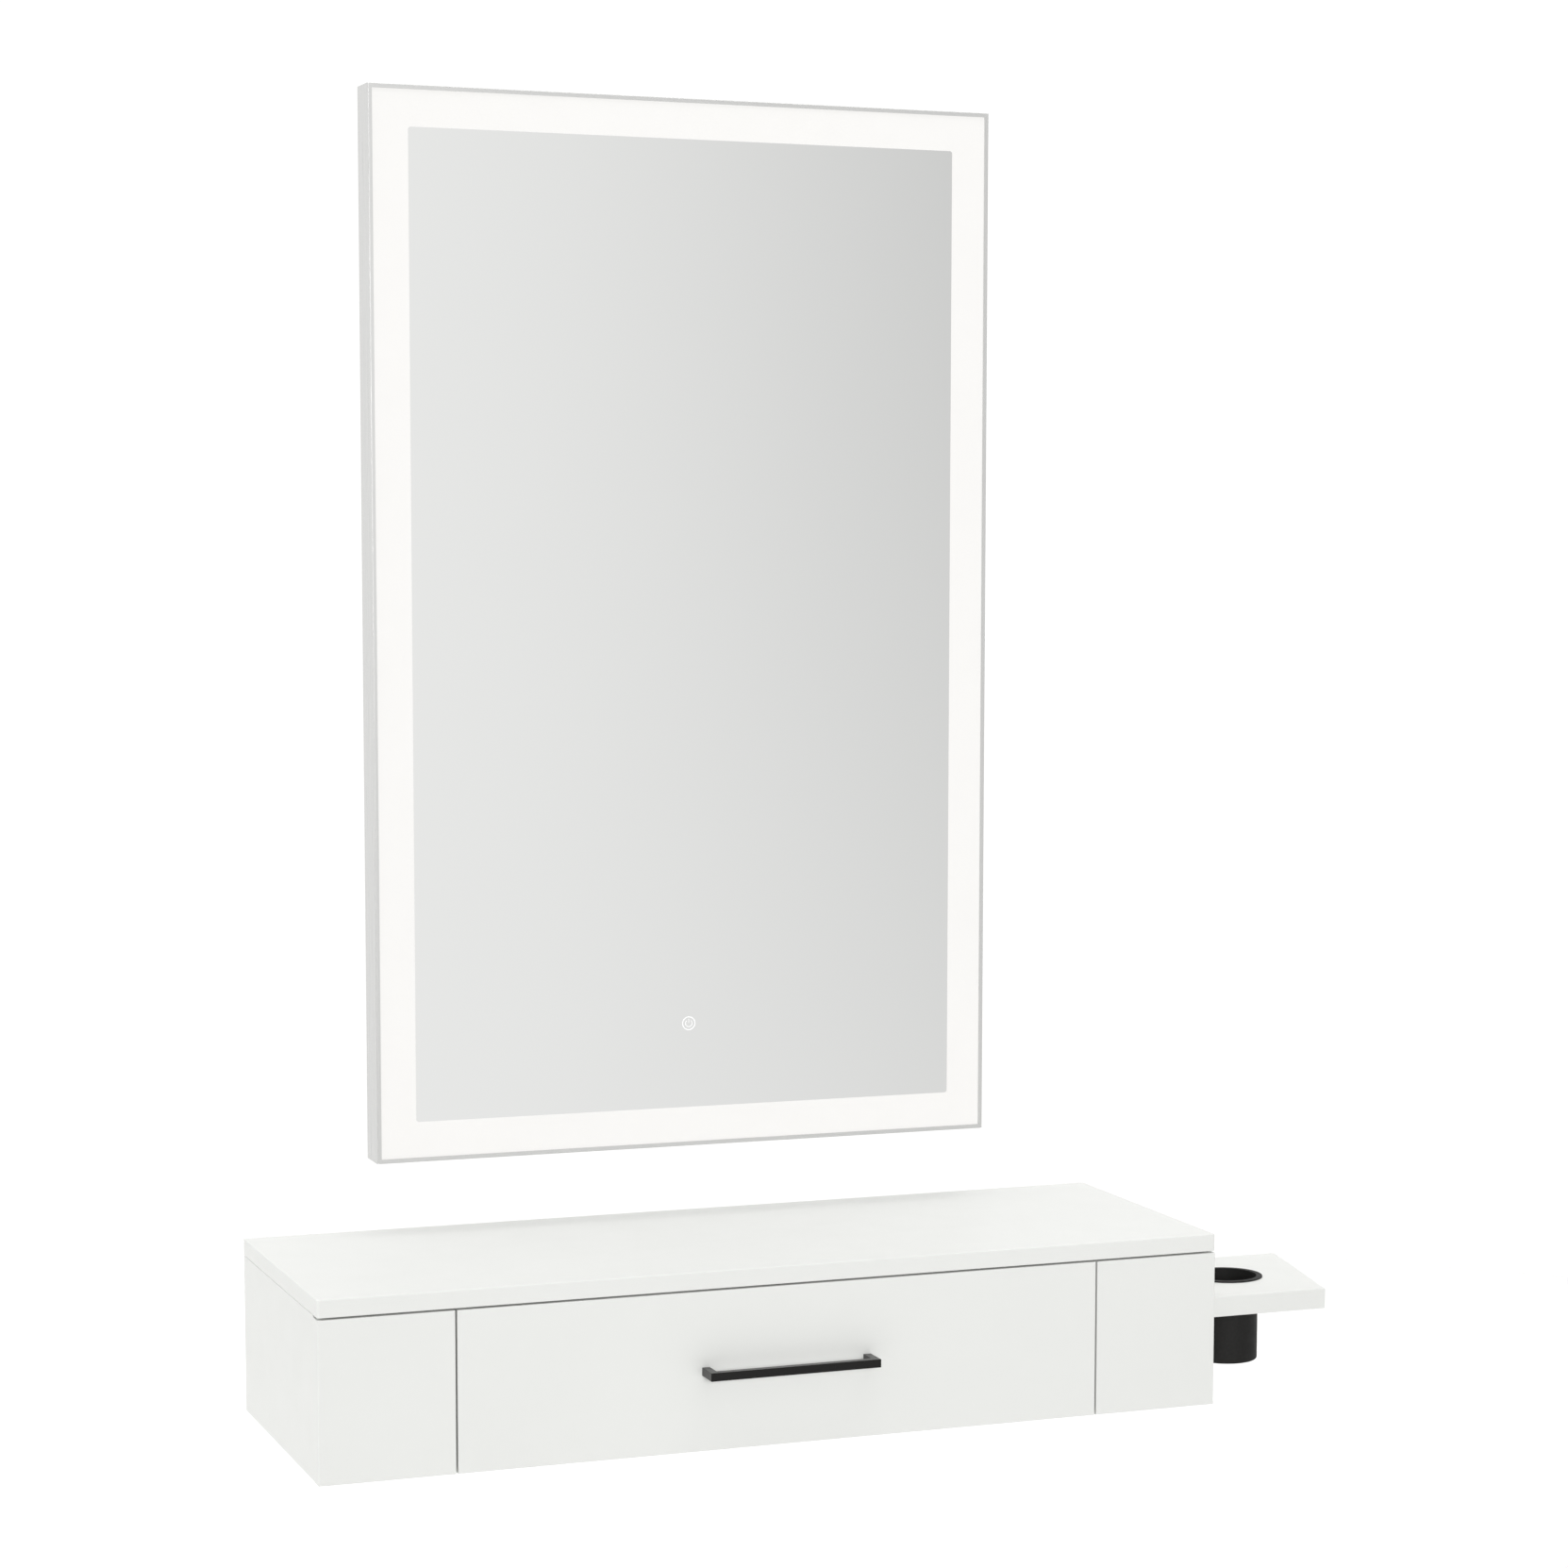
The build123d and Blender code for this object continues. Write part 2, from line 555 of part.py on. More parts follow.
# corner where a member starts, direction into the mirror, direction of its length, length
MEMBERS = {
    "left": (Vector(LEFT_X, 0, MIRROR_BOTTOM), X_OUT, Z_OUT, MIRROR_HEIGHT),
    "right": (Vector(RIGHT_X, 0, MIRROR_TOP), -X_OUT, -Z_OUT, MIRROR_HEIGHT),
    "bottom": (Vector(RIGHT_X, 0, MIRROR_BOTTOM), Z_OUT, -X_OUT, MIRROR_WIDTH),
    "top": (Vector(LEFT_X, 0, MIRROR_TOP), -Z_OUT, X_OUT, MIRROR_WIDTH),
}
KEY_ARM = 60.0
KEY_NEAR, KEY_FAR = 3.4, 23.0
KEY_Y = (-14.1, -9.1)
KEY_SCREW_T = 45.0
KEY_SCREW_LENGTH = 12.0
PLATE_SCREW_R = 2.0
PLATE_SCREW_HEAD_R = 3.6
PLATE_SCREW_HEAD = 1.6
BUMPER_R = 5.5
SCREW_W = 18.0  # line of the rear flange's screws and bumpers, from the outer edge
BUMPER_T = 100.0


def rear_points(distances):
    """Points on the rear flange of each corner, at distances along both of its members."""
    points = []
    for sx in SIDES:
        for sz in SIDES:
            x, z = MIRROR_X + sx * MIRROR_HALF, MIRROR_MID_Z + sz * MIRROR_HEIGHT / 2
            points += [(x - sx * SCREW_W, MIRROR_BACK_Y, z - sz * t) for t in distances]
            points += [(x - sx * t, MIRROR_BACK_Y, z - sz * SCREW_W) for t in distances]
    return points


KEY_SCREWS = rear_points([KEY_SCREW_T])
BUMPERS = [p for p in rear_points([BUMPER_T]) if abs(p[0] - MIRROR_X) > MIRROR_HALF - 2 * SCREW_W]


def bar(w, y, mode=Mode.ADD):
    """A rectangle of the frame's section: w from the outer edge inwards, y from front to back."""
    with Locations(((w[0] + w[1]) / 2, (y[0] + y[1]) / 2)):
        Rectangle(w[1] - w[0], y[1] - y[0], mode=mode)


def frame_member(name):
    """An extruded aluminium channel with a front lip, two ledges and a rear flange, its ends mitred."""
    corner, inward, along, length = MEMBERS[name]
    with BuildPart() as member:
        with BuildSketch(Plane(origin=corner, x_dir=inward, z_dir=along)) as section:
            bar((0, FRAME_FLANGE), (MIRROR_FRONT_Y, MIRROR_BACK_Y))
            fillet(section.vertices().sort_by(Axis.Y)[-2:].sort_by(Axis.X)[0], FRAME_BACK_R)
            fillet(section.vertices().sort_by(Axis.Y)[:2].sort_by(Axis.X)[0], FRAME_FRONT_R)
            with BuildSketch(mode=Mode.PRIVATE) as hollow:
                bar((FRAME_WALL, FRAME_FLANGE + 1), (GLASS_FRONT_Y, MIRROR_BACK_Y - FRAME_SKIN))
                fillet(hollow.vertices().sort_by(Axis.Y)[-2:].sort_by(Axis.X)[0], FRAME_BACK_R - FRAME_SKIN)
            add(hollow.sketch, mode=Mode.SUBTRACT)
            bar((FRAME_LIP, FRAME_FLANGE + 1), (MIRROR_FRONT_Y, GLASS_FRONT_Y), mode=Mode.SUBTRACT)
            bar((FRAME_WALL / 2, FRAME_LEDGE), (DIFFUSER_BACK_Y, DIFFUSER_BACK_Y + FRAME_SKIN))
            bar((FRAME_WALL / 2, FRAME_LEDGE), (TRAY_BACK_Y, TRAY_BACK_Y + FRAME_SKIN))
        extrude(amount=length)
        split(bisect_by=Plane(origin=corner, z_dir=along - inward), keep=Keep.TOP)
        split(bisect_by=Plane(origin=corner + along * length, z_dir=-along - inward), keep=Keep.TOP)
        with BuildSketch(Plane.XZ.offset(-MIRROR_BACK_Y)):
            with Locations((MIRROR_X, MIRROR_MID_Z)):
                Rectangle(MIRROR_WIDTH + 2, MIRROR_HEIGHT + 2)
                RectangleRounded(MIRROR_WIDTH, MIRROR_HEIGHT, FRAME_CORNER_R, mode=Mode.SUBTRACT)
        extrude(amount=MIRROR_BACK_Y - MIRROR_FRONT_Y, mode=Mode.SUBTRACT)
        bores("y", KEY_SCREWS, PLATE_SCREW_R, 2 * KEY_SCREW_LENGTH)
    return member


def corner_keys():
    """Flat L-shaped keys inside the channel that pull the mitres together."""
    with BuildPart() as keys:
        for sx in SIDES:
            for sz in SIDES:
                x, z = MIRROR_X + sx * MIRROR_HALF, MIRROR_MID_Z + sz * MIRROR_HEIGHT / 2
                block((x - sx * KEY_NEAR, x - sx * KEY_FAR), KEY_Y, (z - sz * KEY_NEAR, z - sz * KEY_ARM))
                block((x - sx * KEY_NEAR, x - sx * KEY_ARM), KEY_Y, (z - sz * KEY_NEAR, z - sz * KEY_FAR))
        bores("y", KEY_SCREWS, PLATE_SCREW_R, 2 * KEY_SCREW_LENGTH)
    return keys


def corner_key_screws():
    places = [Location(p, TURN["-y"]) for p in KEY_SCREWS]
    return screw_group(places, PLATE_SCREW_HEAD_R, PLATE_SCREW_HEAD, PLATE_SCREW_R, KEY_SCREW_LENGTH)


def wall_bumpers():
    """Soft pads on the rear flange that keep the frame off the wall."""
    with BuildPart() as pads:
        with Locations(*[Location(p, TURN["y"]) for p in BUMPERS]):
            Cylinder(BUMPER_R, -MIRROR_BACK_Y, align=UPWARD)
    return pads


# ---------------------------------------------------------------- mirror glass and light
def pane(inset, y, mode=Mode.ADD):
    """A rectangular sheet, inset from the mirror's outline on all four sides."""
    block((LEFT_X + inset, RIGHT_X - inset), y, (MIRROR_BOTTOM + inset, MIRROR_TOP - inset), mode=mode)


def mirror_glass():
    with BuildPart() as glass:
        pane(GLASS_INSET, (GLASS_FRONT_Y, GLASS_BACK_Y))
    return glass


def light_diffuser():
    """An opal ring behind the glass's frosted border."""
    with BuildPart() as ring:
        pane(GLASS_INSET, (GLASS_BACK_Y, DIFFUSER_BACK_Y))
        pane(DIFFUSER_BAND, (GLASS_BACK_Y, DIFFUSER_BACK_Y), mode=Mode.SUBTRACT)
    return ring


def led_strip(name):
    corner, inward, along, length = MEMBERS[name]
    start = corner + inward * LED_INSET + along * LED_END
    end = start + along * (length - 2 * LED_END)
    grow_x, grow_z = abs(inward.X) * LED_CHIP, abs(inward.Z) * LED_CHIP
    with BuildPart() as strip:
        x = (min(start.X, end.X) - grow_x, max(start.X, end.X) + grow_x)
        z = (min(start.Z, end.Z) - grow_z, max(start.Z, end.Z) + grow_z)
        block(x, (TRAY_FRONT_Y - LED_BOARD, TRAY_FRONT_Y), z)
    return strip


def led_chips():
    """The light-emitting chips, in one even row along each strip."""
    spots = []
    for corner, inward, along, length in MEMBERS.values():
        count = int((length - 2 * LED_END) / LED_PITCH)
        first = (length - (count - 1) * LED_PITCH) / 2
        line = corner + inward * LED_INSET
        spots += [line + along * (first + i * LED_PITCH) for i in range(count)]
    y = TRAY_FRONT_Y - LED_BOARD - LED_CHIP_THICK / 2
    with BuildPart() as chips:
        with Locations(*[(spot.X, y, spot.Z) for spot in spots]):
            Box(LED_CHIP, LED_CHIP_THICK, LED_CHIP)
    return chips


HANGER_SCREWS = [(MIRROR_X + x, TRAY_BACK_Y + CLEAT_SHEET, CLEAT_Z - 10) for x in (-220, -75, 75, 220)]
DRIVER_SCREWS = [(MIRROR_X + s * 70, TRAY_BACK_Y, DRIVER_Z) for s in SIDES]
TRAY_SCREW_LENGTH = 5.5
LED_LEAD_Z = DRIVER_Z - 12.5


def backing_tray():
    """The sheet that carries the lights, the driver and the hanger rail."""
    with BuildPart() as tray:
        pane(GLASS_INSET, (TRAY_FRONT_Y, TRAY_BACK_Y))
        bores("y", HANGER_SCREWS + DRIVER_SCREWS, PLATE_SCREW_R, 2 * TRAY_SCREW_LENGTH)
        bores("y", [(GLAND_X, TRAY_BACK_Y, DRIVER_Z)], GLAND_R, 4 * TRAY_SHEET)
    return tray


def light_wall():
    """A strip on edge that keeps the light off the mirror's centre, with a hole for the driver's lead."""
    with BuildPart() as wall:
        pane(LIGHT_WALL_INSET, (DIFFUSER_BACK_Y, TRAY_FRONT_Y))
        pane(LIGHT_WALL_INSET + TRAY_SHEET, (DIFFUSER_BACK_Y, TRAY_FRONT_Y), mode=Mode.SUBTRACT)
        bores("x", [(LEFT_X + LIGHT_WALL_INSET, LEAD_Y, LED_LEAD_Z)], LEAD_R + 0.2, 4 * TRAY_SHEET)
    return wall


def led_driver():
    """The sealed power supply box."""
    width, depth, height = DRIVER_SIZE
    with BuildPart() as case:
        x = (MIRROR_X - width / 2, MIRROR_X + width / 2)
        block(x, (TRAY_FRONT_Y - depth, TRAY_FRONT_Y), (DRIVER_Z - height / 2, DRIVER_Z + height / 2))
        fillet(case.edges().filter_by(Axis.Y), 3)
        bores("y", DRIVER_SCREWS, PLATE_SCREW_R, 2 * TRAY_SCREW_LENGTH)
    return case


def touch_sensor():
    """The capacitive switch's board, stuck to the back of the glass behind the lit symbol."""
    with BuildPart() as board:
        with Locations(Location((MIRROR_X, GLASS_BACK_Y, BUTTON_Z), TURN["y"])):
            Cylinder(SENSOR_R, SENSOR_BOARD, align=UPWARD)
    return board


def internal_leads():
    """The sensor's lead up to the driver, and the driver's lead out to the left light strip."""
    sensor_z = BUTTON_Z + SENSOR_R / 2
    sensor_exit = (MIRROR_X, GLASS_BACK_Y + SENSOR_BOARD, sensor_z)
    driver_entry = (MIRROR_X, LEAD_Y, DRIVER_Z - DRIVER_SIZE[2] / 2)
    driver_exit = (MIRROR_X - DRIVER_SIZE[0] / 2, LEAD_Y, LED_LEAD_Z)
    strip_x = LEFT_X + LED_INSET
    strip_entry = (strip_x, TRAY_FRONT_Y - LED_BOARD, LED_LEAD_Z)
    with BuildPart() as leads:
        with BuildLine() as rise:
            FilletPolyline(sensor_exit, (MIRROR_X, LEAD_Y, sensor_z), driver_entry, radius=6 * LEAD_R)
        with BuildSketch(Plane(origin=sensor_exit, z_dir=(0, 1, 0))):
            Circle(LEAD_R)
        sweep(path=rise.line)
        with BuildLine() as across:
            FilletPolyline(driver_exit, (strip_x, LEAD_Y, LED_LEAD_Z), strip_entry, radius=3 * LEAD_R)
        with BuildSketch(Plane(origin=driver_exit, z_dir=(-1, 0, 0))):
            Circle(LEAD_R)
        sweep(path=across.line)
    return leads


def cable_gland():
    """The strain relief that the supply cord passes through, clamped in the tray."""
    with BuildPart() as gland:
        with Locations(Location((GLAND_X, GLAND_FRONT_Y, DRIVER_Z), TURN["y"])):
            Cylinder(GLAND_R, GLAND_LENGTH, align=UPWARD)
        for nut_y in (TRAY_FRONT_Y - GLAND_NUT, TRAY_BACK_Y):
            with Locations(Location((GLAND_X, nut_y, DRIVER_Z), TURN["y"])):
                Cylinder(GLAND_NUT_R, GLAND_NUT, align=UPWARD)
        bores("y", [(GLAND_X, GLAND_FRONT_Y, DRIVER_Z)], CORD_BORE_R, 4 * GLAND_LENGTH)
    return gland


# ---------------------------------------------------------------- cleat and hanger
def cleat_bar(y, z, mode=Mode.ADD):
    half = CLEAT_LENGTH / 2
    block((MIRROR_X - half, MIRROR_X + half), y, z, mode=mode)


HOOK_BASE = CLEAT_Z - 4
HOOK_FRONT = -7.2
CLEAT_FOOT = CLEAT_Z - 40
CLEAT_BOLT_Z = CLEAT_Z - 22
CLEAT_BOLT_R = 3.0


def mirror_wall_cleat():
    """The wall's half of the cleat: a web for the bolts and a hook that stands off the wall."""
    with BuildPart() as cleat:
        cleat_bar((-CLEAT_SHEET, 0), (CLEAT_FOOT, HOOK_BASE))
        cleat_bar((HOOK_FRONT, 0), (HOOK_BASE - CLEAT_SHEET, HOOK_BASE))
        cleat_bar((HOOK_FRONT, HOOK_FRONT + CLEAT_SHEET), (HOOK_BASE, CLEAT_Z + CLEAT_HOOK))
        with Locations(Location((MIRROR_X, -CLEAT_SHEET / 2, CLEAT_BOLT_Z), TURN["y"])):
            with GridLocations(CLEAT_BOLT_X, 1, 2, 1):
                Cylinder(CLEAT_BOLT_R, 2 * CLEAT_SHEET, mode=Mode.SUBTRACT)
    return cleat


def hanger_rail():
    """The mirror's half: screwed to the tray, with a lip that drops behind the wall's hook."""
    lip_back = -2.6
    seat_z = CLEAT_Z + CLEAT_HOOK
    with BuildPart() as rail:
        cleat_bar((TRAY_BACK_Y, TRAY_BACK_Y + CLEAT_SHEET), (CLEAT_Z - 20, seat_z + CLEAT_SHEET))
        cleat_bar((TRAY_BACK_Y, lip_back), (seat_z, seat_z + CLEAT_SHEET))
        cleat_bar((lip_back - CLEAT_SHEET, lip_back), (CLEAT_Z, seat_z))
        bores("y", HANGER_SCREWS, PLATE_SCREW_R, 2 * TRAY_SCREW_LENGTH)
    return rail


def tray_screws():
    """Screws of the hanger rail and of the driver, driven from behind."""
    places = [Location(p, TURN["-y"]) for p in HANGER_SCREWS + DRIVER_SCREWS]
    return screw_group(places, PLATE_SCREW_HEAD_R, PLATE_SCREW_HEAD, PLATE_SCREW_R, TRAY_SCREW_LENGTH)


# ---------------------------------------------------------------- every piece, written out
write("top_board", top_board())
write("left_side_panel", side_panel(-1))
write("right_side_panel", side_panel(1))
write("bottom_panel", bottom_panel())
write("back_panel", back_panel())
write("left_divider", divider(-1))
write("right_divider", divider(1))
write("left_end_front", end_front(-1))
write("right_end_front", end_front(1))
write("cam_locks", cam_locks())
write("cam_bolts", cam_bolts())
write("wooden_dowels", wooden_dowels())

write("appliance_shelf", appliance_shelf())
write("shelf_screws", shelf_screws())
write("dryer_cup", dryer_cup())

for side_name, side_sign in (("left", -1), ("right", 1)):
    write(f"{side_name}_outer_runner", runner(side_sign, OUTER_BARS))
    write(f"{side_name}_middle_runner", runner(side_sign, MIDDLE_BARS))
    write(f"{side_name}_inner_runner", runner(side_sign, INNER_BARS))
write("runner_screws", runner_screws())
write("slide_screws", slide_screws())
write("outer_ball_cages", cages(OUTER_BALL))
write("outer_balls", balls(OUTER_BALL))
write("inner_ball_cages", cages(INNER_BALL))
write("inner_balls", balls(INNER_BALL))

write("drawer_front", drawer_front())
write("drawer_subfront", drawer_subfront())
write("drawer_left_side", drawer_side(-1))
write("drawer_right_side", drawer_side(1))
write("drawer_back", drawer_back())
write("drawer_bottom", drawer_bottom())
write("bar_handle", bar_handle())
write("handle_screws", handle_screws())
write("front_screws", front_screws())
write("drawer_box_screws", drawer_box_screws())

for member_name in MEMBERS:
    write(f"mirror_frame_{member_name}", frame_member(member_name))
    write(f"led_strip_{member_name}", led_strip(member_name))
write("corner_keys", corner_keys())
write("corner_key_screws", corner_key_screws())
write("wall_bumpers", wall_bumpers())
write("mirror_glass", mirror_glass())
write("light_diffuser", light_diffuser())
write("led_chips", led_chips())
write("backing_tray", backing_tray())
write("light_wall", light_wall())
write("led_driver", led_driver())
write("touch_sensor", touch_sensor())
write("internal_leads", internal_leads())
write("cable_gland", cable_gland())
write("mirror_wall_cleat", mirror_wall_cleat())
write("hanger_rail", hanger_rail())
write("tray_screws", tray_screws())
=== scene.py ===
"""The looks of a wall-hung salon styling station: materials, the lit mirror pane, stage, light and camera.

Metres, in the CAD model's frame: the wall is the plane y = 0, the front faces -Y, +Z is up."""

import json
import math

import bmesh
import bpy
from mathutils import Matrix, Vector


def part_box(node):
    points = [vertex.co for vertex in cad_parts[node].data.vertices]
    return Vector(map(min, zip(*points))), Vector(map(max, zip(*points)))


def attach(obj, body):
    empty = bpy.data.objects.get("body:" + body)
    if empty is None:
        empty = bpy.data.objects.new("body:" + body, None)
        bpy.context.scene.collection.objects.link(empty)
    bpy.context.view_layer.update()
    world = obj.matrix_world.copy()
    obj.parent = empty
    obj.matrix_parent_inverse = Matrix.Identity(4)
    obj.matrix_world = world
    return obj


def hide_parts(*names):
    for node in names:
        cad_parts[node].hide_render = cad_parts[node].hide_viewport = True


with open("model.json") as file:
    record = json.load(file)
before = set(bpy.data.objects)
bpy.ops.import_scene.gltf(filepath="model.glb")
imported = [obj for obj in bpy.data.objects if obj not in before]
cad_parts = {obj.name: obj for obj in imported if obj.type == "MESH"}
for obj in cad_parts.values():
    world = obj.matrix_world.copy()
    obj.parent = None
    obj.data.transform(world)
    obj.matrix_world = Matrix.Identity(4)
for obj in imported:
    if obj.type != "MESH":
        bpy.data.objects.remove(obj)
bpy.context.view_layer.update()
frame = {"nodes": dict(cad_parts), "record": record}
nodes = frame["nodes"]
MM = 0.001

# ---------------------------------------------------------------- camera: metres, radians, lens in mm
CAMERA_AT = Vector((-1.3425, -4.0010, 0.8760))
CAMERA_YAW = 0.3821
CAMERA_PITCH = -0.0987
CAMERA_ROLL = 0.0045
CAMERA_LENS = 85.1
CAMERA_SHIFT = 0.0722
SENSOR_WIDTH = 36.0


def make_camera():
    data = bpy.data.cameras.new("camera")
    data.sensor_width = SENSOR_WIDTH
    data.lens = CAMERA_LENS
    data.shift_x = -CAMERA_SHIFT
    data.shift_y = CAMERA_SHIFT
    data.clip_end = 200.0
    camera = bpy.data.objects.new("camera", data)
    bpy.context.scene.collection.objects.link(camera)
    level = math.cos(CAMERA_PITCH)
    forward = Vector((math.sin(CAMERA_YAW) * level, math.cos(CAMERA_YAW) * level, math.sin(CAMERA_PITCH)))
    right = Vector((math.cos(CAMERA_YAW), -math.sin(CAMERA_YAW), 0.0))
    up = right.cross(forward)
    roll = Matrix.Rotation(-CAMERA_ROLL, 3, forward)
    turned = Matrix((roll @ right, roll @ up, -forward)).transposed()
    camera.matrix_world = Matrix.Translation(CAMERA_AT) @ turned.to_4x4()
    bpy.context.scene.camera = camera


# ---------------------------------------------------------------- node helpers
GLASS_LIKE_IOR = 1.5


class Shading:
    """A new material and short ways to add nodes to it. Sizes are in metres on the object."""

    def __init__(self, name, colour, roughness, metallic=0.0, specular=0.5):
        self.material = bpy.data.materials.new(name)
        self.material.use_nodes = True
        self.material.diffuse_color = (*colour, 1.0)
        self.tree = self.material.node_tree
        self.surface = self.tree.nodes["Principled BSDF"]
        self.colour = colour
        self.put("Base Color", (*colour, 1.0))
        self.put("Roughness", roughness)
        self.put("Metallic", metallic)
        self.put("Specular IOR Level", specular)
        self.put("IOR", GLASS_LIKE_IOR)
        self.place = self.add("ShaderNodeTexCoord").outputs["Object"]

    def add(self, kind, **settings):
        node = self.tree.nodes.new(kind)
        for key, value in settings.items():
            setattr(node, key, value)
        return node

    def put(self, socket, value):
        self.surface.inputs[socket].default_value = value

    def join(self, output, target):
        self.tree.links.new(output, target)

    def noise(self, size, detail=2.0, stretch=(1, 1, 1), shift=0.0):
        """Noise whose blobs are about size across, longer along an axis whose stretch is above 1."""
        mapping = self.add("ShaderNodeMapping")
        mapping.inputs["Scale"].default_value = [1 / s for s in stretch]
        mapping.inputs["Location"].default_value = (shift, shift, shift)
        self.join(self.place, mapping.inputs["Vector"])
        texture = self.add("ShaderNodeTexNoise")
        texture.inputs["Scale"].default_value = 1 / size
        texture.inputs["Detail"].default_value = detail
        self.join(mapping.outputs["Vector"], texture.inputs["Vector"])
        return texture.outputs["Fac"]

    def cells(self, size, feature="F1", stretch=(1, 1, 1)):
        """The outputs of a cell pattern whose cells are about size across."""
        mapping = self.add("ShaderNodeMapping")
        mapping.inputs["Scale"].default_value = [1 / s for s in stretch]
        self.join(self.place, mapping.inputs["Vector"])
        texture = self.add("ShaderNodeTexVoronoi", feature=feature)
        texture.inputs["Scale"].default_value = 1 / size
        self.join(mapping.outputs["Vector"], texture.inputs["Vector"])
        return texture.outputs

    def spread(self, value, low, high, start=0.3, end=0.7):
        """A value from start to end, mapped to the range from low to high."""
        node = self.add("ShaderNodeMapRange")
        for socket, number in (("From Min", start), ("From Max", end), ("To Min", low), ("To Max", high)):
            node.inputs[socket].default_value = number
        self.join(value, node.inputs["Value"])
        return node.outputs["Result"]

    def blend(self, share, first, second):
        """Two colours, or outputs, mixed by a share from 0 to 1."""
        node = self.add("ShaderNodeMix", data_type="RGBA")
        self.join(share, node.inputs["Factor"])
        for socket, value in ((node.inputs[6], first), (node.inputs[7], second)):
            if isinstance(value, tuple):
                socket.default_value = (*value, 1.0)
            else:
                self.join(value, socket)
        return node.outputs[2]

    def tint(self, share, low, high):
        """The material's own colour, made darker or lighter by a share."""
        dark = tuple(c * low for c in self.colour)
        light = tuple(min(1.0, c * high) for c in self.colour)
        self.join(self.blend(share, dark, light), self.surface.inputs["Base Color"])

    def relief(self, heights):
        """Bumps, each as (height output, depth in metres, strength), one on the other."""
        normal = None
        for height, depth, strength in heights:
            node = self.add("ShaderNodeBump")
            node.inputs["Strength"].default_value = strength
            node.inputs["Distance"].default_value = depth
            self.join(height, node.inputs["Height"])
            if normal:
                self.join(normal, node.inputs["Normal"])
            normal = node.outputs["Normal"]
        self.join(normal, self.surface.inputs["Normal"])

    def rough(self, share, low, high):
        """Roughness between low and high, by a share."""
        self.join(self.spread(share, low, high), self.surface.inputs["Roughness"])


# ---------------------------------------------------------------- materials
BOARD_WHITE = (0.790, 0.797, 0.778)
BOARD_ROUGHNESS = 0.42
BOARD_PEBBLE = 0.03 * MM
CUP_BLACK = (0.0150, 0.0146, 0.0142)
HANDLE_BLACK = (0.0052, 0.0047, 0.0043)
BORDER_GLOW = 0.57
SYMBOL_GLOW = 0.55
DIFFUSER_GLOW = 0.35
LED_GLOW = 0.8


def laminate(name, colour, roughness, pebble):
    """Melamine-faced board: a faint pebble, slow changes of tone and gloss."""
    s = Shading(name, colour, roughness, specular=0.42)
    s.tint(s.spread(s.noise(0.16, 3.0), 0, 1), 0.992, 1.006)
    s.rough(s.noise(0.035, 4.0, shift=3.0), roughness - 0.04, roughness + 0.05)
    s.relief([(s.noise(0.0011, 2.0), pebble, 0.35), (s.noise(0.0004, 1.0, shift=7.0), pebble / 3, 0.3)])
    return s


def white_laminate():
    return laminate("satin_white_laminate", BOARD_WHITE, BOARD_ROUGHNESS, BOARD_PEBBLE).material


def drilled_laminate():
    """The same board, with its particle core showing where the walls of round holes cut it."""
    s = laminate("drilled_white_laminate", BOARD_WHITE, BOARD_ROUGHNESS, BOARD_PEBBLE)
    chips = s.cells(0.0018, stretch=(1.6, 1, 1))
    core = s.blend(s.spread(chips["Distance"], 0, 1, 0, 0.9), (0.42, 0.30, 0.18), (0.63, 0.49, 0.33))
    geometry = s.add("ShaderNodeNewGeometry")
    parts = s.add("ShaderNodeSeparateXYZ")
    s.join(geometry.outputs["True Normal"], parts.inputs["Vector"])
    biggest = None
    for axis in ("X", "Y", "Z"):
        size = s.add("ShaderNodeMath", operation="ABSOLUTE")
        s.join(parts.outputs[axis], size.inputs[0])
        if biggest is None:
            biggest = size.outputs[0]
            continue
        larger = s.add("ShaderNodeMath", operation="MAXIMUM")
        s.join(biggest, larger.inputs[0])
        s.join(size.outputs[0], larger.inputs[1])
        biggest = larger.outputs[0]
    curved = s.spread(biggest, 1, 0, 0.9990, 0.9999)
    facing = s.surface.inputs["Base Color"].links[0].from_socket
    s.join(s.blend(curved, facing, core), s.surface.inputs["Base Color"])
    return s.material


def drawer_board():
    """The duller board of the drawer's box."""
    return laminate("matt_white_melamine", (0.79, 0.79, 0.775), 0.52, 0.04 * MM).material


def beech():
    """Dowels: fibres and rings along the grain."""
    s = Shading("beech", (0.60, 0.43, 0.27), 0.55)
    fibre = s.noise(0.0012, 4.0, stretch=(1, 1, 14))
    ring = s.noise(0.006, 2.0, stretch=(1, 1, 9), shift=2.0)
    s.tint(s.spread(ring, 0, 1), 0.86, 1.10)
    s.rough(fibre, 0.48, 0.64)
    s.relief([(fibre, 0.05 * MM, 0.5)])
    return s.material


def powder_coat(name, colour, roughness, peel, specular=0.5):
    """Cured powder: a fine orange peel with small dips in it."""
    s = Shading(name, colour, roughness, specular=specular)
    fine, broad = s.noise(0.0006, 2.0), s.noise(0.0026, 2.0, shift=5.0)
    s.tint(s.spread(broad, 0, 1), 0.90, 1.12)
    s.rough(s.noise(0.008, 3.0, shift=1.0), roughness - 0.05, roughness + 0.06)
    s.relief([(broad, peel, 0.5), (fine, peel / 2, 0.4)])
    return s.material


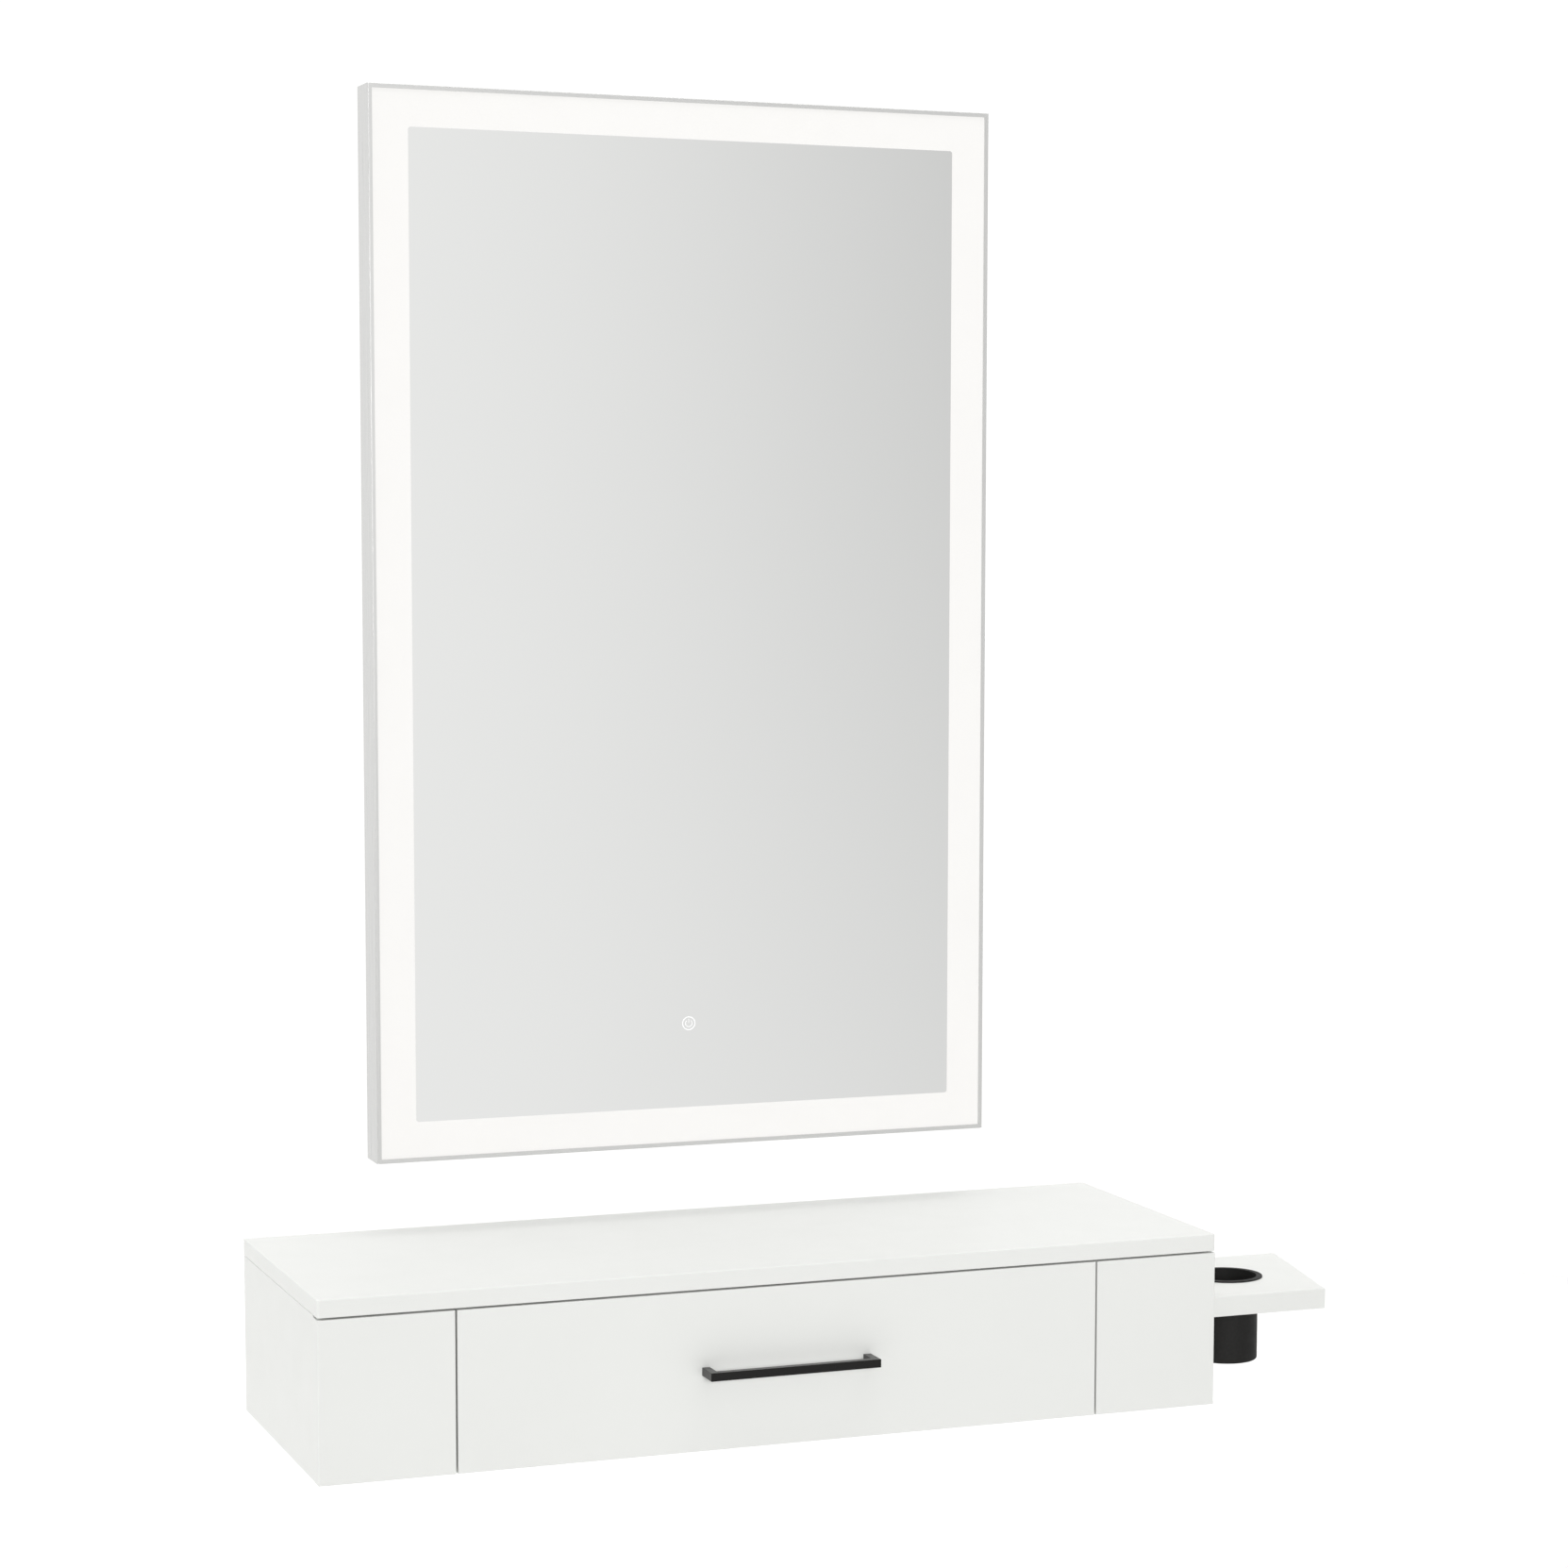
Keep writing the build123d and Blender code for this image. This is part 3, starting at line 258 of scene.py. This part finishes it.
def anodised(name, along):
    """Satin anodised aluminium with the fine lines of its extrusion running along one axis."""
    s = Shading(name, (0.60, 0.60, 0.594), 0.31, metallic=0.25)
    stretch = tuple(240 if axis == along else 1 for axis in "xyz")
    drawn = s.noise(0.0005, 3.0, stretch=stretch)
    broad = s.noise(0.004, 2.0, stretch=stretch, shift=4.0)
    s.tint(s.spread(broad, 0, 1), 0.975, 1.015)
    s.rough(drawn, 0.26, 0.36)
    s.relief([(drawn, 0.006 * MM, 0.35)])
    return s.material


def zinc_steel():
    """Bright zinc plate: cloudy, faintly blue and straw in places."""
    s = Shading("zinc_plate", (0.62, 0.635, 0.65), 0.33, metallic=1.0)
    cloud = s.spread(s.noise(0.009, 4.0), 0, 1, 0.35, 0.65)
    hue = s.spread(s.noise(0.03, 2.0, shift=9.0), 0, 1)
    plated = s.blend(hue, (0.60, 0.63, 0.66), (0.66, 0.64, 0.60))
    s.join(s.blend(cloud, plated, (0.70, 0.71, 0.72)), s.surface.inputs["Base Color"])
    s.rough(s.noise(0.004, 3.0, shift=2.0), 0.26, 0.42)
    s.relief([(s.noise(0.0009, 2.0), 0.01 * MM, 0.4)])
    return s.material


def runner_steel():
    """Zinc-plated strip, with roller marks along its length."""
    s = Shading("rolled_zinc_strip", (0.58, 0.59, 0.60), 0.34, metallic=1.0)
    rolled = s.noise(0.0007, 3.0, stretch=(1, 120, 1))
    s.tint(s.spread(s.noise(0.02, 3.0, stretch=(1, 4, 1), shift=6.0), 0, 1), 0.90, 1.06)
    s.rough(rolled, 0.27, 0.44)
    s.relief([(rolled, 0.012 * MM, 0.4)])
    return s.material


def ball_steel():
    """Polished steel with a trace of oil."""
    s = Shading("polished_ball_steel", (0.78, 0.78, 0.79), 0.08, metallic=1.0)
    oil = s.noise(0.002, 3.0)
    s.tint(s.spread(oil, 0, 1), 0.93, 1.03)
    s.rough(oil, 0.05, 0.13)
    return s.material


def silvered_glass():
    """The mirror's centre: silver seen through clear glass, with a trace of haze."""
    s = Shading("silvered_glass", (0.925, 0.93, 0.925), 0.0, metallic=1.0)
    haze = s.noise(0.22, 4.0)
    s.tint(s.spread(haze, 0, 1), 0.997, 1.002)
    s.rough(haze, 0.0, 0.012)
    return s.material


def frosted_glow():
    """The sandblasted border, lit evenly from behind."""
    s = Shading("frosted_lit_glass", (0.36, 0.36, 0.355), 0.62, specular=0.3)
    grit = s.noise(0.0005, 2.0)
    glow = s.spread(s.noise(0.05, 2.0, shift=3.0), 0, 1)
    s.tint(grit, 0.96, 1.04)
    warm = s.blend(glow, (0.985, 0.966, 0.946), (1.0, 0.982, 0.962))
    s.join(warm, s.surface.inputs["Emission Color"])
    s.put("Emission Strength", BORDER_GLOW)
    s.relief([(grit, 0.01 * MM, 0.3)])
    return s.material


def symbol_glow():
    """The touch switch's clear lines in the silver, lit white."""
    s = Shading("symbol_light", (0.7, 0.7, 0.7), 0.4)
    s.tint(s.noise(0.0004, 1.0), 0.97, 1.03)
    glow = s.blend(s.spread(s.noise(0.004, 1.0), 0, 1), (0.98, 0.98, 0.98), (1.0, 1.0, 1.0))
    s.join(glow, s.surface.inputs["Emission Color"])
    s.put("Emission Strength", SYMBOL_GLOW)
    return s.material


def ground_edge():
    """The glass sheet's ground green edge."""
    s = Shading("ground_glass_edge", (0.42, 0.56, 0.50), 0.35)
    s.tint(s.spread(s.noise(0.0008, 3.0), 0, 1), 0.85, 1.12)
    s.rough(s.noise(0.0012, 2.0, shift=1.0), 0.28, 0.46)
    return s.material


def mirror_back():
    """The grey paint that protects the silver."""
    s = Shading("mirror_backing_paint", (0.30, 0.31, 0.32), 0.55)
    s.tint(s.spread(s.noise(0.03, 4.0), 0, 1), 0.93, 1.06)
    s.rough(s.noise(0.003, 3.0), 0.48, 0.62)
    return s.material


def opal_plastic():
    """The diffuser, dimly lit by the strips behind it."""
    s = Shading("opal_diffuser", (0.90, 0.90, 0.885), 0.45)
    s.tint(s.spread(s.noise(0.02, 2.0), 0, 1), 0.985, 1.005)
    glow = s.blend(s.spread(s.noise(0.025, 1.0), 0, 1), (0.97, 0.955, 0.935), (1.0, 0.982, 0.962))
    s.join(glow, s.surface.inputs["Emission Color"])
    s.put("Emission Strength", DIFFUSER_GLOW)
    s.rough(s.noise(0.001, 2.0), 0.4, 0.5)
    return s.material


def led_board():
    """White solder mask over copper, which shows as faint lighter lands."""
    s = Shading("white_solder_mask", (0.83, 0.83, 0.81), 0.38)
    lands = s.cells(0.006, feature="DISTANCE_TO_EDGE")
    s.tint(s.spread(lands["Distance"], 0, 1, 0.02, 0.08), 0.93, 1.02)
    s.rough(s.noise(0.002, 2.0), 0.32, 0.46)
    s.relief([(s.noise(0.0007, 2.0), 0.02 * MM, 0.4)])
    return s.material


def led_phosphor():
    """The yellow tops of the chips, lit."""
    s = Shading("led_phosphor", (0.86, 0.70, 0.24), 0.3)
    s.tint(s.spread(s.noise(0.0012, 2.0), 0, 1), 0.88, 1.08)
    s.rough(s.noise(0.001, 2.0), 0.24, 0.38)
    glow = s.blend(s.spread(s.noise(0.002, 1.0), 0, 1), (1.0, 0.93, 0.80), (1.0, 0.97, 0.90))
    s.join(glow, s.surface.inputs["Emission Color"])
    s.put("Emission Strength", LED_GLOW)
    return s.material


def moulded(name, colour, roughness, grain):
    """Moulded plastic or rubber with a fine spark-eroded grain."""
    s = Shading(name, colour, roughness, specular=0.4)
    s.tint(s.spread(s.noise(0.01, 3.0), 0, 1), 0.88, 1.12)
    s.rough(s.noise(0.003, 3.0, shift=2.0), roughness - 0.06, roughness + 0.07)
    s.relief([(s.noise(0.0005, 3.0), grain, 0.5)])
    return s.material


MAKERS = {
    "white_laminate": white_laminate,
    "drawer_board": drawer_board,
    "beech": beech,
    "black_powder": lambda: powder_coat("black_powder_coat", CUP_BLACK, 0.6, 0.02 * MM, 0.15),
    "opal_plastic": opal_plastic,
    "led_board": led_board,
    "led_phosphor": led_phosphor,
    "grey_sheet": lambda: powder_coat("grey_sheet_coat", (0.50, 0.505, 0.51), 0.5, 0.025 * MM, 0.4),
    "driver_case": lambda: powder_coat("white_case_coat", (0.70, 0.70, 0.69), 0.42, 0.03 * MM),
    "black_plastic": lambda: moulded("black_nylon", (0.028, 0.028, 0.029), 0.46, 0.02 * MM),
    "lead_rubber": lambda: moulded("lead_insulation", (0.03, 0.03, 0.031), 0.55, 0.02 * MM),
    "clear_rubber": lambda: moulded("grey_soft_pad", (0.56, 0.56, 0.54), 0.5, 0.015 * MM),
    "zinc_steel": zinc_steel,
    "runner_steel": runner_steel,
    "ball_steel": ball_steel,
}


def dress(node, material):
    """Gives a CAD node one material all over."""
    mesh = nodes[node].data
    mesh.materials.clear()
    mesh.materials.append(material)


def dress_all():
    made = {slot: maker() for slot, maker in MAKERS.items()}
    upright, level = anodised("anodised_upright", "z"), anodised("anodised_level", "x")
    for part in frame["record"]["subparts"]:
        name, slot = part["node"], part["material_slot"]
        if slot in made:
            dress(name, made[slot])
        elif slot == "frame_aluminium":
            dress(name, upright if name.endswith(("left", "right")) else level)
    dress("back_panel", drilled_laminate())
    dress("bar_handle", powder_coat("black_satin_coat", HANDLE_BLACK, 0.22, 0.006 * MM, 0.28))


# ---------------------------------------------------------------- the mirror's pane and its touch symbol
LIT_BAND = 44.4 * MM  # inner edge of the lit border, from the frame's outside
SILVER_CORNER = 3.0 * MM
ARRIS = 0.5 * MM
PANE_CORNER = 1.0 * MM
CORNER_STEPS = 8
SYMBOL_Z = 0.319
RING_R, RING_WIDTH = 7.3 * MM, 0.7 * MM
POWER_R, POWER_WIDTH = 3.9 * MM, 0.5 * MM
POWER_GAP = 42  # degrees left open on each side of the top
STROKE_LOW, STROKE_HIGH = 0.9 * MM, 4.9 * MM
ARC_STEPS = 40
CAP_STEPS = 8
SYMBOL_PROUD = 0.06 * MM
SYMBOL_SEGMENTS = 72


def rounded_outline(low, high, inset, radius):
    """Points of a rounded rectangle in the XZ plane, counter-clockwise seen from -Y."""
    points = []
    turns = ((high.x, low.z, -90), (high.x, high.z, 0), (low.x, high.z, 90), (low.x, low.z, 180))
    middle_x, middle_z = (low.x + high.x) / 2, (low.z + high.z) / 2
    for corner_x, corner_z, start in turns:
        centre_x = corner_x + math.copysign(inset + radius, middle_x - corner_x)
        centre_z = corner_z + math.copysign(inset + radius, middle_z - corner_z)
        for i in range(CORNER_STEPS + 1):
            angle = math.radians(start + 90 * i / CORNER_STEPS)
            points.append((centre_x + radius * math.cos(angle), centre_z + radius * math.sin(angle)))
    return points


def loop(mesh, outline, y):
    """Vertices along an outline, all at one depth."""
    return [mesh.verts.new((x, y, z)) for x, z in outline]


def skirt(mesh, first, second, material_index):
    """Quads between two loops with the same number of points."""
    for i in range(len(first)):
        j = (i + 1) % len(first)
        face = mesh.faces.new((first[i], first[j], second[j], second[i]))
        face.material_index = material_index


def piece(name, mesh, body, materials):
    """A finished bmesh as an object that rides on a body."""
    bmesh.ops.recalc_face_normals(mesh, faces=mesh.faces[:])
    data = bpy.data.meshes.new(name)
    mesh.to_mesh(data)
    mesh.free()
    for material in materials:
        data.materials.append(material)
    made = bpy.data.objects.new(name, data)
    bpy.context.scene.collection.objects.link(made)
    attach(made, body)
    return made


def mirror_pane():
    """One sheet of glass: a silvered centre, a frosted border lit from behind, arrised ground edges."""
    low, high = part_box("mirror_glass")
    frame_low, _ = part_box("mirror_frame_left")
    silver_inset = LIT_BAND - (low.x - frame_low.x)
    mesh = bmesh.new()
    back = loop(mesh, rounded_outline(low, high, ARRIS, PANE_CORNER), high.y)
    back_side = loop(mesh, rounded_outline(low, high, 0, PANE_CORNER), high.y - ARRIS)
    front_side = loop(mesh, rounded_outline(low, high, 0, PANE_CORNER), low.y + ARRIS)
    front = loop(mesh, rounded_outline(low, high, ARRIS, PANE_CORNER), low.y)
    silver = loop(mesh, rounded_outline(low, high, silver_inset, SILVER_CORNER), low.y)
    silver_face, frosted, edge, paint = range(4)
    mesh.faces.new(back).material_index = paint
    skirt(mesh, back, back_side, edge)
    skirt(mesh, back_side, front_side, edge)
    skirt(mesh, front_side, front, edge)
    skirt(mesh, front, silver, frosted)
    mesh.faces.new(silver).material_index = silver_face
    materials = [silvered_glass(), frosted_glow(), ground_edge(), mirror_back()]
    made = piece("mirror_pane", mesh, "mirror", materials)
    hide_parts("mirror_glass")


def thin_plate(mesh, outline, front_y, back_y):
    """A closed plate with the outline's shape."""
    front, back = loop(mesh, outline, front_y), loop(mesh, outline, back_y)
    mesh.faces.new(front)
    mesh.faces.new(back)
    skirt(mesh, front, back, 0)


def line_outline(path, width):
    """The outline of a round-ended line of constant width along a path of points."""
    left, right = [], []
    for i, point in enumerate(path):
        before, after = path[max(i - 1, 0)], path[min(i + 1, len(path) - 1)]
        along = Vector((after[0] - before[0], after[1] - before[1])).normalized()
        across = Vector((-along.y, along.x)) * width / 2
        left.append(Vector(point) + across)
        right.append(Vector(point) - across)
    caps = []
    for end, other in ((path[-1], path[-2]), (path[0], path[1])):
        along = Vector((end[0] - other[0], end[1] - other[1])).normalized()
        start = math.atan2(along.y, along.x) + math.pi / 2
        turn = [start - math.pi * i / CAP_STEPS for i in range(1, CAP_STEPS)]
        caps.append([Vector(end) + Vector((math.cos(a), math.sin(a))) * width / 2 for a in turn])
    return [tuple(p) for p in left + caps[0] + right[::-1] + caps[1]]


def touch_symbol():
    """A ring around a plain power symbol, as bright lines on the glass."""
    glass_low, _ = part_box("mirror_glass")
    sensor_low, sensor_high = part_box("touch_sensor")
    centre_x = (sensor_low.x + sensor_high.x) / 2
    back_y, front_y = glass_low.y, glass_low.y - SYMBOL_PROUD
    mesh = bmesh.new()
    turns = [2 * math.pi * i / SYMBOL_SEGMENTS for i in range(SYMBOL_SEGMENTS)]
    rims = []
    for radius in (RING_R - RING_WIDTH / 2, RING_R + RING_WIDTH / 2):
        circle = [(centre_x + radius * math.cos(a), SYMBOL_Z + radius * math.sin(a)) for a in turns]
        rims.append((loop(mesh, circle, front_y), loop(mesh, circle, back_y)))
    (inner_front, inner_back), (outer_front, outer_back) = rims
    skirt(mesh, inner_front, outer_front, 0)
    skirt(mesh, outer_front, outer_back, 0)
    skirt(mesh, outer_back, inner_back, 0)
    skirt(mesh, inner_back, inner_front, 0)
    opened = 360 - 2 * POWER_GAP
    sweep = [math.radians(90 + POWER_GAP + opened * i / ARC_STEPS) for i in range(ARC_STEPS + 1)]
    arc = [(centre_x + POWER_R * math.cos(a), SYMBOL_Z + POWER_R * math.sin(a)) for a in sweep]
    thin_plate(mesh, line_outline(arc, POWER_WIDTH), front_y, back_y)
    stroke = [(centre_x, SYMBOL_Z + STROKE_LOW), (centre_x, SYMBOL_Z + STROKE_HIGH)]
    thin_plate(mesh, line_outline(stroke, POWER_WIDTH), front_y, back_y)
    piece("touch_symbol", mesh, "mirror", [symbol_glow()])


# ---------------------------------------------------------------- stage, world and lights
FLOOR_DROP = 0.85  # from the work surface down to the floor
FLOOR_RADIUS = 4.2
FLOOR_SEGMENTS = 160
AHEAD_LEVEL = 1.05  # the world's brightness as the camera looks at it
BEHIND_LEVEL = 0.868  # behind the camera, which is what the mirror shows
OVERHEAD_LEVEL = 1.15
RIGHT_FALL = 0.56  # share lost far to the right, behind the camera
SIDE_FALL = 0.5  # share lost on the left and high up, outside what the mirror shows this camera
WORLD_TINT = (1.0, 1.0, 0.992, 1.0)
# Where each change in the world starts and ends, as the direction's share along the axis it is named for.
BACK_SPAN = (0.0, 0.45)
RIGHT_SPAN = (0.215, 0.56)
LEFT_SPAN = (-0.2, 0.10)
UPWARD_SPAN = (-0.62, 0.28)
HIGH_SPAN = (0.16, 0.40)
OVERHEAD_SPAN = (0.35, 0.95)


def make_floor():
    """A pale disc on the floor below the object."""
    work_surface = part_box("top_board")[1].z
    mesh = bmesh.new()
    bmesh.ops.create_circle(mesh, cap_ends=True, segments=FLOOR_SEGMENTS, radius=FLOOR_RADIUS)
    data = bpy.data.meshes.new("floor")
    mesh.to_mesh(data)
    mesh.free()
    floor = bpy.data.objects.new("floor", data)
    floor.location.z = work_surface - FLOOR_DROP
    bpy.context.scene.collection.objects.link(floor)
    s = Shading("pale_floor", (0.73, 0.73, 0.725), 0.7, specular=0.2)
    s.tint(s.spread(s.noise(0.9, 3.0), 0, 1), 0.995, 1.0)
    data.materials.append(s.material)


def make_world():
    """White ahead and overhead. Behind the camera it falls off to grey on both sides and high up."""
    world = bpy.data.worlds.new("studio")
    bpy.context.scene.world = world
    world.use_nodes = True
    tree = world.node_tree
    background = tree.nodes["Background"]

    def add(kind, **settings):
        node = tree.nodes.new(kind)
        for key, value in settings.items():
            setattr(node, key, value)
        return node

    def smooth(value, start, end, low, high):
        node = add("ShaderNodeMapRange", interpolation_type="SMOOTHSTEP")
        for socket, number in (("From Min", start), ("From Max", end), ("To Min", low), ("To Max", high)):
            node.inputs[socket].default_value = number
        tree.links.new(value, node.inputs["Value"])
        return node.outputs["Result"]

    direction = add("ShaderNodeTexCoord").outputs["Generated"]

    def towards(x, y, z):
        node = add("ShaderNodeVectorMath", operation="DOT_PRODUCT")
        tree.links.new(direction, node.inputs[0])
        node.inputs[1].default_value = (x, y, z)
        return node.outputs["Value"]

    def math_node(operation, first, second):
        node = add("ShaderNodeMath", operation=operation)
        for socket, value in zip(node.inputs, (first, second)):
            if isinstance(value, float):
                socket.default_value = value
            else:
                tree.links.new(value, socket)
        return node.outputs[0]

    behind = smooth(towards(0, -1, 0), *BACK_SPAN, 1.0, BEHIND_LEVEL / AHEAD_LEVEL)
    to_right = smooth(towards(1, 0, 0), *RIGHT_SPAN, 0.0, RIGHT_FALL)
    upward = smooth(towards(0, 0, 1), *UPWARD_SPAN, 0.0, 1.0)
    back_only = smooth(towards(0, -1, 0), *BACK_SPAN, 0.0, 1.0)
    fall = math_node("MULTIPLY", math_node("MULTIPLY", to_right, upward), back_only)
    to_left = smooth(towards(-1, 0, 0), *LEFT_SPAN, 0.0, 1.0)
    high_up = smooth(towards(0, 0, 1), *HIGH_SPAN, 0.0, 1.0)
    outside = math_node("MULTIPLY", math_node("MAXIMUM", to_left, high_up), SIDE_FALL)
    kept = math_node("SUBTRACT", 1.0, math_node("MULTIPLY", outside, back_only))
    level = math_node("MULTIPLY", math_node("MULTIPLY", behind, kept), math_node("SUBTRACT", 1.0, fall))
    overhead = smooth(towards(0, 0, 1), *OVERHEAD_SPAN, AHEAD_LEVEL, OVERHEAD_LEVEL)
    tree.links.new(math_node("MULTIPLY", level, overhead), background.inputs["Strength"])
    background.inputs["Color"].default_value = WORLD_TINT


def area_light(name, place, target, size, power, spread=180):
    """A rectangular light aimed at a point. Power in watts, spread in degrees."""
    data = bpy.data.lights.new(name, "AREA")
    data.shape = "RECTANGLE"
    data.size, data.size_y = size
    data.energy = power
    data.spread = math.radians(spread)
    light = bpy.data.objects.new(name, data)
    light.location = place
    aim = Vector(target) - Vector(place)
    light.rotation_mode = "QUATERNION"
    light.rotation_quaternion = aim.to_track_quat("-Z", "Y")
    bpy.context.scene.collection.objects.link(light)


def make_lights():
    """A key from behind the camera, a fill from the left, one overhead, and one on the floor behind."""
    area_light("key", (-1.1, -6.4, 1.35), (0.5, -0.2, 0.3), (1.6, 1.3), 49.0, spread=100)
    area_light("left", (-3.6, -0.6, 1.2), (-0.4, -0.2, 0.2), (1.8, 1.8), 15.0)
    area_light("top", (0.2, -0.8, 3.4), (0.2, -0.3, 0.1), (2.4, 1.6), 27.0)
    area_light("sweep", (0.3, 1.3, 2.8), (0.3, 3.3, 1.8), (4.4, 1.2), 200.0)


# ---------------------------------------------------------------- the scene
bpy.context.scene.view_settings.view_transform = "Standard"
bpy.context.scene.view_settings.look = "None"
make_camera()
make_world()
make_lights()
make_floor()
dress_all()
mirror_pane()
touch_symbol()
